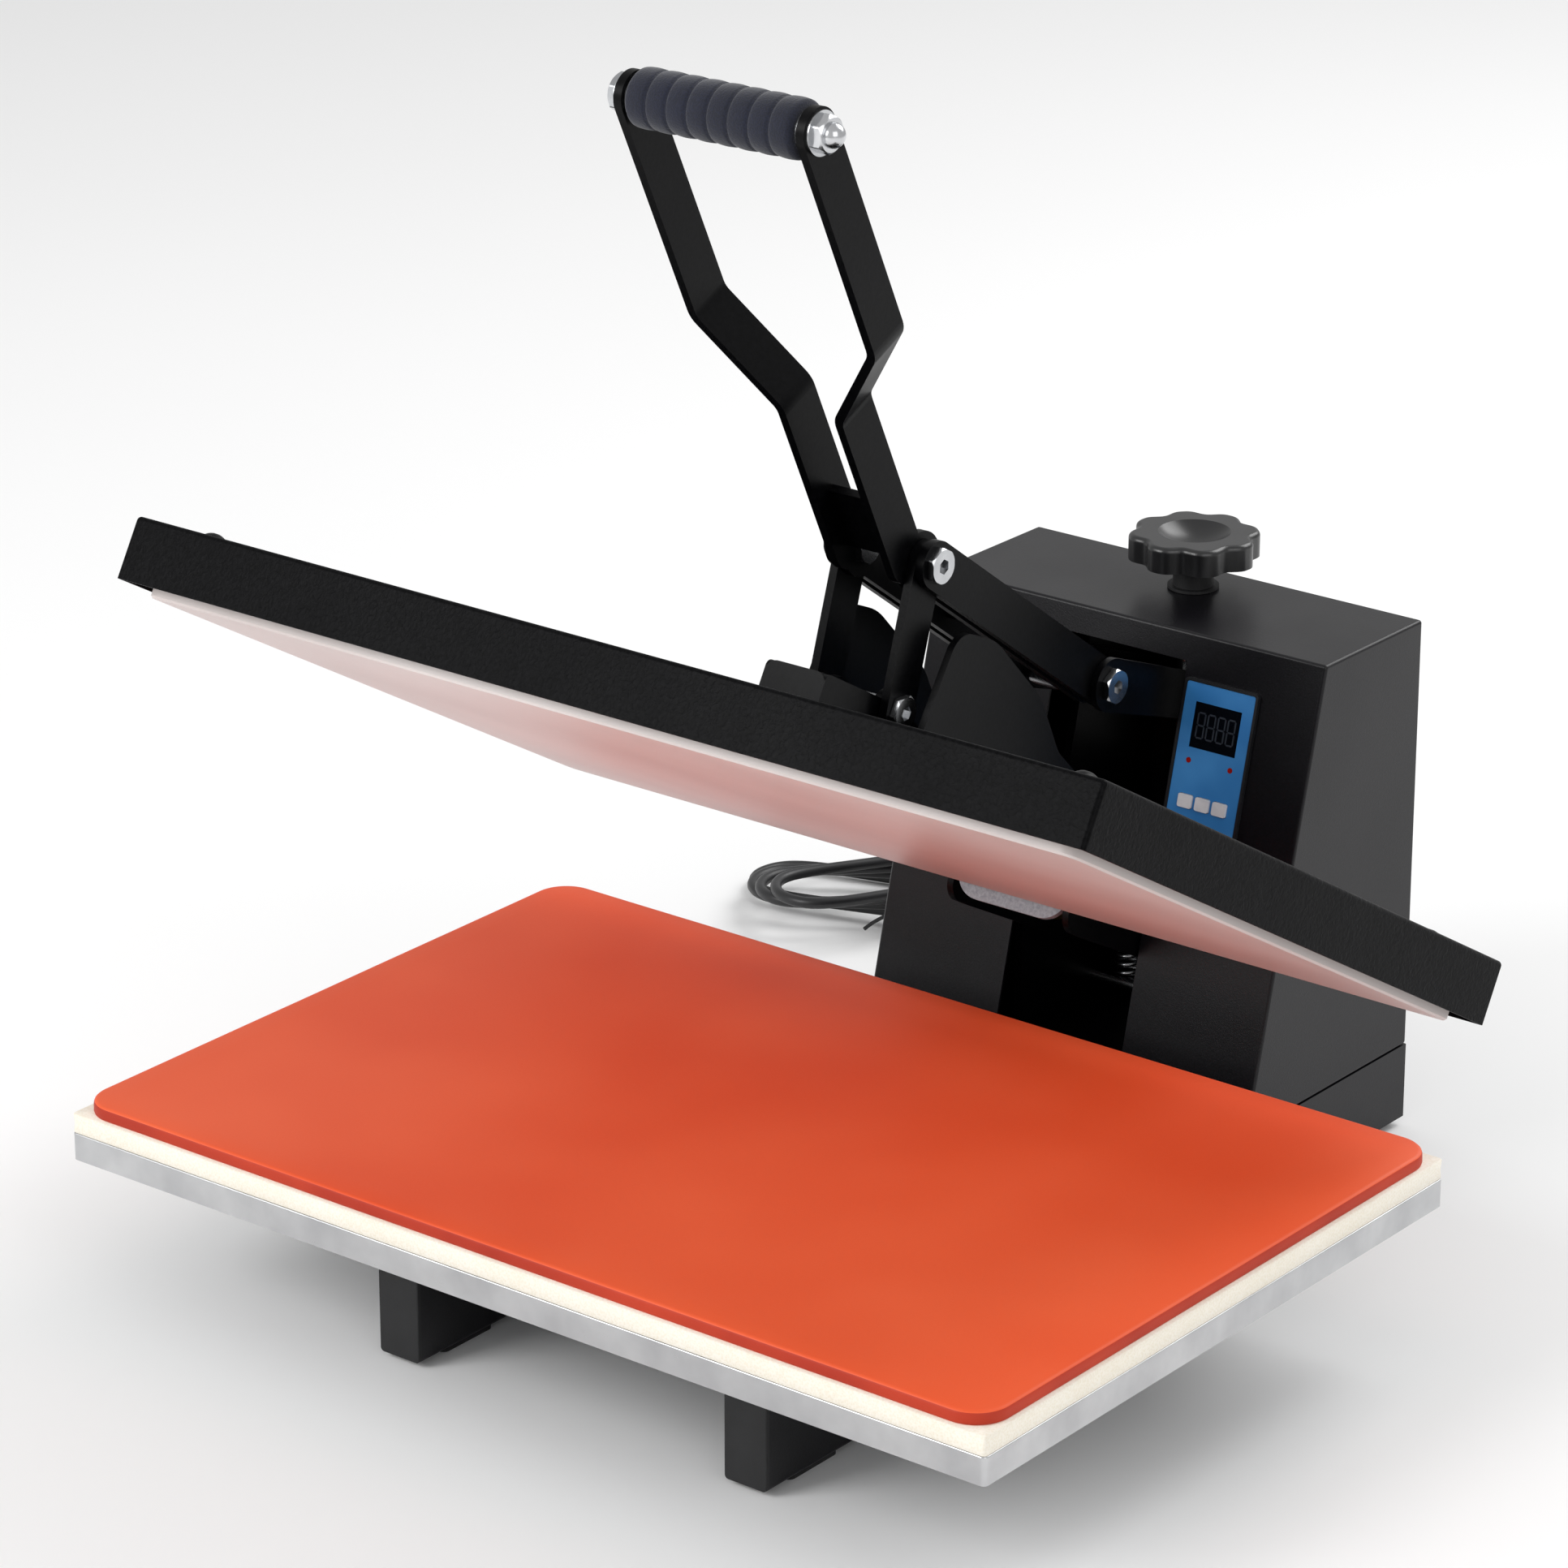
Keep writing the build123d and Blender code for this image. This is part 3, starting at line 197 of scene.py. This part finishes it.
panelFilm = mouldedPlastic("printedPolyesterFilmBlue", {
    "dark": "#2F7DC4", "light": "#4595DA", "grainMm": 0.5,
    "ior": 1.57, "roughness": 0.38, "relief": 0.05, "driftMm": 40})
panelAbs = mouldedPlastic("mouldedAbsBlack", {
    "dark": "#101114", "light": "#1A1B1F", "grainMm": 0.6,
    "ior": 1.53, "roughness": 0.4, "relief": 0.08, "driftMm": 25})
smokedWindow = mouldedPlastic("smokedAcrylic", {
    "dark": "#05070C", "light": "#0A0E16", "grainMm": 4.0,
    "ior": 1.49, "roughness": 0.12, "relief": 0.01, "coat": 0.6})
buttonAbs = mouldedPlastic("mouldedAbsWhite", {
    "dark": "#DDE2E8", "light": "#EEF1F4", "grainMm": 0.5,
    "ior": 1.53, "roughness": 0.38, "relief": 0.05, "driftMm": 8})
lampEpoxy = mouldedPlastic("castEpoxyRed", {
    "dark": "#8E1512", "light": "#B02420", "grainMm": 2.0,
    "ior": 1.5, "roughness": 0.14, "relief": 0.01, "coat": 0.5})
segmentInk = mouldedPlastic("unlitSegmentInk", {
    "dark": "#2A3038", "light": "#363D47", "grainMm": 0.5,
    "ior": 1.5, "roughness": 0.3, "relief": 0.02, "driftMm": 6})
boardLacquer = mouldedPlastic("lacqueredBoardGreen", {
    "dark": "#123D24", "light": "#1B5A36", "grainMm": 1.5,
    "ior": 1.5, "roughness": 0.3, "relief": 0.15, "driftMm": 10})
creamSponge = cellFoam("siliconeSpongeCream", {
    "dark": "#EAE1CD", "light": "#F6F1E6", "cellMm": 1.3, "relief": 0.2, "sheen": 0.1})
gripFoam = cellFoam("nitrileFoamNavy", {
    "dark": "#090B14", "light": "#191D30", "cellMm": 0.9, "relief": 0.4, "sheen": 0.25})
mineralWool = cellFoam("pressedMineralWool", {
    "dark": "#A79F8C", "light": "#C9C2B0", "cellMm": 2.5, "relief": 0.8, "sheen": 0.2})

finishOf = {
    coverCoat: "platen_cover",
    towerCoat: "tower_shell tower_skirt rear_cover base_rails cross_beams",
    plateEnamel: "mast_frame pressure_hanger lever_bars lever_links toggle_legs arm_bracket "
                 "arm_side_plates lever_web cover_bolts",
    greyEnamel: "arm_rear_parts",
    zincPlate: "tray_bolts main_hinge_pin rear_screws spring_anchor return_springs pressure_screw "
               "lever_pivot_bolt pivot_spacers knee_bolts grip_tube grip_bolt leg_pivot_bolt",
    bedAlloy: "lower_tray",
    bronze: "hinge_bushes",
    copperWire: "transformer heating_element",
    nonStick: "heater_plate",
    knobPhenolic: "pressure_knob power_rocker fuse_holder cable_gland",
    blackRubber: "rail_end_caps rubber_feet open_stops knob_collar cord_plug",
    panelAbs: "panel_bezel power_switch_body relay_block terminal_block",
    panelFilm: "panel_face",
    smokedWindow: "display_window",
    lampEpoxy: "status_leds",
    buttonAbs: "button_left button_middle button_right",
    boardLacquer: "control_board",
    mineralWool: "heater_insulation",
}


def setFinish(piece, finish):
    piece.data.materials.clear()
    piece.data.materials.append(finish)


for finish, names in finishOf.items():
    for name in names.split():
        setFinish(frame["nodes"][name], finish)
print("finishes made and given to the metal and plastic parts")


def newPiece(name, points, faces, finish, smooth=True):
    mesh = bpy.data.meshes.new(name)
    mesh.from_pydata([tuple(p) for p in points], [], faces)
    if smooth:
        mesh.polygons.foreach_set("use_smooth", [True] * len(mesh.polygons))
    mesh.update()
    piece = bpy.data.objects.new(name, mesh)
    bpy.context.scene.collection.objects.link(piece)
    setFinish(piece, finish)
    return piece


def ringFaces(rings, count, closed=True):
    faces = []
    for ring in range(rings - 1):
        for i in range(count):
            j = (i + 1) % count
            a = ring * count
            faces.append((a + i, a + j, a + count + j, a + count + i))
    if closed:
        faces.append(tuple(range(count - 1, -1, -1)))
        faces.append(tuple(range((rings - 1) * count, rings * count)))
    return faces


# bed layers: a cut sponge sheet under a moulded silicone pad
padLook = {"corner": 20.0, "wobble": 0.4, "cornerSteps": 12, "sideSteps": 40,
           "profile": [(1.4, 0.0), (0.3, 0.4), (0.0, 1.4), (0.1, 5.2), (0.5, 6.5), (1.3, 7.2),
                       (2.8, 7.5), (16, 7.5)]}
spongeLook = {"corner": 2.5, "wobble": 0.5, "cornerSteps": 4, "sideSteps": 44,
              "profile": [(0.5, 0.0), (0.0, 0.5), (0.5, 5.5), (0.0, 10.5), (0.6, 11.0), (14, 11.0)]}


def sheetOutline(look, halfX, halfY, inset):
    corner = max(look["corner"] - inset, 0.5) * mm
    x = halfX - inset * mm - corner
    y = halfY - inset * mm - corner
    points = []
    for turn, (sx, sy) in enumerate(((1, 1), (-1, 1), (-1, -1), (1, -1))):
        for step in range(look["cornerSteps"] + 1):
            angle = math.pi / 2 * (turn + step / look["cornerSteps"])
            points.append(Vector((sx * x + corner * math.cos(angle), sy * y + corner * math.sin(angle), 0)))
        nextX, nextY = ((-1, 1), (-1, -1), (1, -1), (1, 1))[turn]
        start = points[-1].copy()
        angle = math.pi / 2 * (turn + 1)
        end = Vector((nextX * x + corner * math.cos(angle), nextY * y + corner * math.sin(angle), 0))
        for step in range(1, look["sideSteps"]):
            points.append(start.lerp(end, step / look["sideSteps"]))
    return points


def bedSheet(name, node, look, finish):
    low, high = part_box(node)
    centre = (low + high) / 2
    halfX = (high.x - low.x) / 2
    halfY = (high.y - low.y) / 2
    points = []
    for inset, height in look["profile"]:
        for p in sheetOutline(look, halfX, halfY, inset):
            # cut edges wander a little, always inwards
            drift = noise.noise(Vector((p.x * 14, p.y * 14, height * 0.05))) * 0.5 + 0.5
            shrink = 1 - drift * look["wobble"] * mm / max(abs(p.x), abs(p.y))
            points.append((centre.x + p.x * shrink, centre.y + p.y * shrink, low.z + height * mm))
    count = len(points) // len(look["profile"])
    piece = newPiece(name, points, ringFaces(len(look["profile"]), count), finish)
    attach(piece, "base")
    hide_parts(node)
    return piece


siliconePad = bedSheet("siliconePad", "silicone_pad", padLook, orangeSilicone)
siliconePad.data.materials.append(siliconePaintedShade)
for face in siliconePad.data.polygons:
    face.material_index = 1 if abs(face.normal.z) < 0.5 else 0  # the side faces take a darker copy of the orange silicone: painted shade on the pad's sides
spongeSheet = bedSheet("spongeSheet", "sponge_layer", spongeLook, creamSponge)
print("bed layers laid")


def turnedPiece(name, start, axis, side, outline, finish, segments=56):
    axis = Vector(axis)
    side = Vector(side)
    other = axis.cross(side)
    points = []
    for along, radius in outline:
        for i in range(segments):
            angle = 2 * math.pi * i / segments
            spoke = side * math.cos(angle) + other * math.sin(angle)
            points.append(start + axis * along + spoke * radius)
    return newPiece(name, points, ringFaces(len(outline), segments), finish)


gripLook = {"ribs": 8, "valley": 1.5, "steps": 12, "bore": 11.2, "endStep": 4, "endMargin": 0.008,
            "ribFullness": 0.3}


def ribbedGrip():
    low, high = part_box("foam_grip")
    length = high.x - low.x
    radius = (high.z - low.z) / 2
    start = Vector((low.x, (low.y + high.y) / 2, (low.z + high.z) / 2))
    bore = gripLook["bore"] * mm
    endRadius = radius - gripLook["endStep"] * mm
    margin = gripLook["endMargin"]
    outline = [(0.0, bore), (0.0, endRadius)]
    total = gripLook["ribs"] * gripLook["steps"]
    for step in range(total + 1):
        t = step / total
        within = (t * gripLook["ribs"]) % 1
        hump = abs(math.sin(math.pi * within)) ** gripLook["ribFullness"]
        reach = radius - gripLook["valley"] * mm * (1 - hump)
        outline.append((length * (margin + (1 - 2 * margin) * t), reach))
    outline += [(length, endRadius), (length, bore)]
    piece = turnedPiece("ribbedFoamGrip", start, (1, 0, 0), (0, 1, 0), outline, gripFoam)
    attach(piece, "lever")
    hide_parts("foam_grip")


reliefLook = {"rings": 6, "ringSteps": 8, "groove": 0.9, "bore": 3.6, "thickEnd": 6.5, "thinEnd": 4.4}


def strainRelief():
    low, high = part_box("strain_relief")
    length = high.y - low.y
    start = Vector(((low.x + high.x) / 2, low.y, (low.z + high.z) / 2))
    outline = [(0.0, reliefLook["bore"] * mm)]
    steps = reliefLook["rings"] * reliefLook["ringSteps"]
    for step in range(steps + 1):
        t = step / steps
        radius = reliefLook["thickEnd"] + (reliefLook["thinEnd"] - reliefLook["thickEnd"]) * t
        ring = (t * reliefLook["rings"]) % 1
        cut = reliefLook["groove"] if 0.1 < t < 0.95 and ring < 0.4 else 0.0
        outline.append((length * t, (radius - cut) * mm))
    outline.append((length, reliefLook["bore"] * mm))
    piece = turnedPiece("strainReliefSleeve", start, (0, 1, 0), (1, 0, 0), outline, blackRubber)
    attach(piece, "base")
    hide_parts("strain_relief")
    return piece


ribbedGrip()
reliefSleeve = strainRelief()
print("grip and strain relief turned")

# the mains lead goes down from the gland, round the loose loops, to its plug
leadLook = {"radius": 3.5, "turns": 4, "halfLength": 80.0, "bend": 30.0, "fan": 14.0, "layer": 7.2,
            "hankTurn": 38.3, "fanFrom": 45, "shrink": 0.04, "lift": 0.2}
leadRun = [(-95, 352, 85), (-95, 394, 85), (-108, 430, 45), (-135, 450, 13),
           (-170, 450, 3.6), (-206, 434, 3.6), (-243, 424, 3.6)]
leadTail = [(-212, 407, 8), (-180, 413, 12)]


def hankPoint(u, v, z):
    low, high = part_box("cord_hank")
    turn = math.radians(leadLook["hankTurn"])
    x = (low.x + high.x) / 2 + (u * math.cos(turn) - v * math.sin(turn)) * mm
    y = (low.y + high.y) / 2 + (u * math.sin(turn) + v * math.cos(turn)) * mm
    return Vector((x, y, z * mm))


def loosePoints():
    bend = leadLook["bend"]
    straight = leadLook["halfLength"] - bend
    outline = [(straight, bend), (0, bend), (-straight, bend)]
    for step in (1, 2, 3):
        angle = math.radians(90 + 45 * step)
        outline.append((-straight + bend * math.cos(angle), bend * math.sin(angle)))
    outline += [(-straight, -bend), (0, -bend), (straight, -bend)]
    for step in (1, 2, 3):
        angle = math.radians(-90 + 45 * step)
        outline.append((straight + bend * math.cos(angle), bend * math.sin(angle)))
    points = []
    turns = leadLook["turns"]
    for turn in range(turns):
        fan = math.radians(leadLook["fan"] * (turn - (turns - 1) / 2))
        for i, (u, v) in enumerate(outline):
            if turn == turns - 1 and i > 8:
                continue  # the last turn leaves for the plug
            reach = 1 - leadLook["shrink"] * turn
            away = u - leadLook["fanFrom"]
            fu = leadLook["fanFrom"] + away * math.cos(fan) * reach - v * math.sin(fan)
            fv = away * math.sin(fan) * reach + v * math.cos(fan)
            height = leadLook["radius"] + leadLook["lift"] + leadLook["layer"] * (turn + i / len(outline))
            points.append(hankPoint(fu, fv, height))
    return points


def softCurve(name, points, radius, finish):
    curve = bpy.data.curves.new(name, "CURVE")
    curve.dimensions = "3D"
    curve.bevel_depth = radius
    curve.bevel_resolution = 5
    curve.resolution_u = 12
    curve.use_fill_caps = True
    spline = curve.splines.new("NURBS")
    spline.points.add(len(points) - 1)
    for place, p in zip(spline.points, points):
        place.co = (p[0], p[1], p[2], 1)
    spline.order_u = 3
    spline.use_endpoint_u = True
    piece = bpy.data.objects.new(name, curve)
    bpy.context.scene.collection.objects.link(piece)
    curve.materials.append(finish)
    return piece


def mainsLead():
    points = [Vector(p) * mm for p in leadRun] + loosePoints() + [Vector(p) * mm for p in leadTail]
    piece = softCurve("mainsLead", points, leadLook["radius"] * mm, leadSheath)
    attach(piece, "base")
    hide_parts("power_cord", "cord_hank")
    return piece


tieLook = {"radius": 1.2, "steps": 15, "stepsPerTurn": 13, "startAngle": 200, "along": 24, "pitch": 0.6,
           "halfWidth": 36, "middle": 17.5, "halfHeight": 17, "tails": [(10, -48, 20), (-4, -58, 12)]}


def twistTie():
    # plastic-covered wire round the bundle, its two ends standing off
    points = []
    for i in range(tieLook["steps"]):
        angle = math.radians(tieLook["startAngle"] + 360 * i / tieLook["stepsPerTurn"])
        across = tieLook["halfWidth"] * math.cos(angle)
        height = tieLook["middle"] + tieLook["halfHeight"] * math.sin(angle)
        points.append(hankPoint(tieLook["along"] + tieLook["pitch"] * i, across, height))
    points += [hankPoint(*tail) for tail in tieLook["tails"]]
    piece = softCurve("twistTie", points, tieLook["radius"] * mm, blackRubber)
    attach(piece, "base")
    return piece


lead = mainsLead()
tie = twistTie()
print("mains lead laid")

digitLook = {"middle": 24.0, "count": 4, "pitch": 6.6, "height": 14.0, "width": 4.6,
             "stroke": 1.0, "gap": 1.3, "proud": 1.66, "buttonRow": 18.5, "buttonTop": 3.2}


def panelAxes():
    press = next(j for j in frame["joints"] if j["name"] == "press_middle")
    outward = -Vector(press["axis"])
    up = outward.cross(Vector((1, 0, 0)))
    # the buttons' row lies below the panel's middle, and their tops stand proud of it
    middle = Vector(press["pos_m"]) + (up * digitLook["buttonRow"] - outward * digitLook["buttonTop"]) * mm
    return middle, up, outward


def displayDigits():
    middle, up, outward = panelAxes()
    across = Vector((1, 0, 0))
    w = digitLook["width"] / 2
    h = digitLook["height"] / 2
    s = digitLook["stroke"] / 2
    bars = [((-w, v), (w, v)) for v in (-h, 0, h)]
    bars += [((u, v0), (u, v0 + h)) for u in (-w, w) for v0 in (-h, 0)]
    points = []
    faces = []
    v = digitLook["middle"]
    for i in range(digitLook["count"]):
        u = (i - (digitLook["count"] - 1) / 2) * digitLook["pitch"]
        for (u0, v0), (u1, v1) in bars:
            along = Vector((u1 - u0, v1 - v0)).normalized()
            side = Vector((-along.y, along.x)) * s
            a = Vector((u0, v0)) + along * s * digitLook["gap"]
            b = Vector((u1, v1)) - along * s * digitLook["gap"]
            corners = [a - along * s, a + side, b + side, b + along * s, b - side, a - side]
            base = len(points)
            for c in corners:
                place = across * (u + c.x) + up * (v + c.y) + outward * digitLook["proud"]
                points.append(middle + place * mm)
            faces.append(tuple(range(base, base + 6))[::-1])
    piece = newPiece("displayDigits", points, faces, segmentInk, smooth=False)
    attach(piece, "base")


displayDigits()
print("display digits drawn")


studio = {"floorDark": "#F2F2F2", "floorLight": "#F4F4F4", "floorHalf": 12, "worldFill": 0.62,
          "keyWatts": 60.0, "fillWatts": 20.0, "rimWatts": 55.0}


def paleFloor():
    size = studio["floorHalf"]
    points = [(-size, -size, 0), (size, -size, 0), (size, size, 0), (-size, size, 0)]
    finish, tree, shader = newFinish("paleMattPaint", {"Roughness": 0.9, "Specular IOR Level": 0.1})
    coords = addNode(tree, "TexCoord").outputs["Object"]
    cloud = addNode(tree, "TexNoise", {"Scale": 0.8}, {"Vector": coords}).outputs[0]
    colour = twoTone(tree, cloud, 0.3, 0.7, studio["floorDark"], studio["floorLight"])
    tree.links.new(colour, shader.inputs["Base Color"])
    floor = newPiece("floor", points, [(0, 1, 2, 3)], finish, smooth=False)


def softLamp(name, place, target, size, watts):
    lamp = bpy.data.lights.new(name, "AREA")
    lamp.shape = "SQUARE"
    lamp.size = size
    lamp.energy = watts
    piece = bpy.data.objects.new(name, lamp)
    piece.location = place
    piece.rotation_euler = (Vector(target) - Vector(place)).to_track_quat("-Z", "Y").to_euler()
    bpy.context.scene.collection.objects.link(piece)


def paleWorld():
    world = bpy.data.worlds.new("studioWorld")
    world.use_nodes = True
    tree = world.node_tree
    ray = addNode(tree, "LightPath").outputs
    rays = {0: ray["Is Camera Ray"], 1: ray["Is Transmission Ray"]}
    seen = addNode(tree, "Math", {"operation": "MAXIMUM"}, rays)
    strength = {"To Min": studio["worldFill"], "To Max": 1.0}
    level = addNode(tree, "MapRange", strength, {"Value": seen.outputs[0]})
    back = tree.nodes["Background"]
    back.inputs["Color"].default_value = (1, 1, 1, 1)
    tree.links.new(level.outputs[0], back.inputs["Strength"])
    bpy.context.scene.world = world


def viewCamera():
    camera = bpy.data.cameras.new("camera")
    camera.lens = 138.3
    camera.sensor_width = 36
    camera.clip_end = 100
    piece = bpy.data.objects.new("camera", camera)
    piece.location = (1.79395, -2.36589, 1.41538)
    piece.rotation_euler = (math.radians(68.90), 0, math.radians(38.28))
    bpy.context.scene.collection.objects.link(piece)
    bpy.context.scene.camera = piece


paleFloor()
paleWorld()
softLamp("keyLamp", (-1.4, -2.8, 1.9), (0, -0.1, 0.2), 1.6, studio["keyWatts"])
softLamp("fillLamp", (2.6, -1.4, 1.8), (0, 0, 0.2), 2.0, studio["fillWatts"])
softLamp("rimLamp", (0.6, 2.4, 2.4), (0, 0, 0.3), 2.0, studio["rimWatts"])
viewCamera()
bpy.context.scene.view_settings.view_transform = "Standard"
print("floor, lamps and camera set")
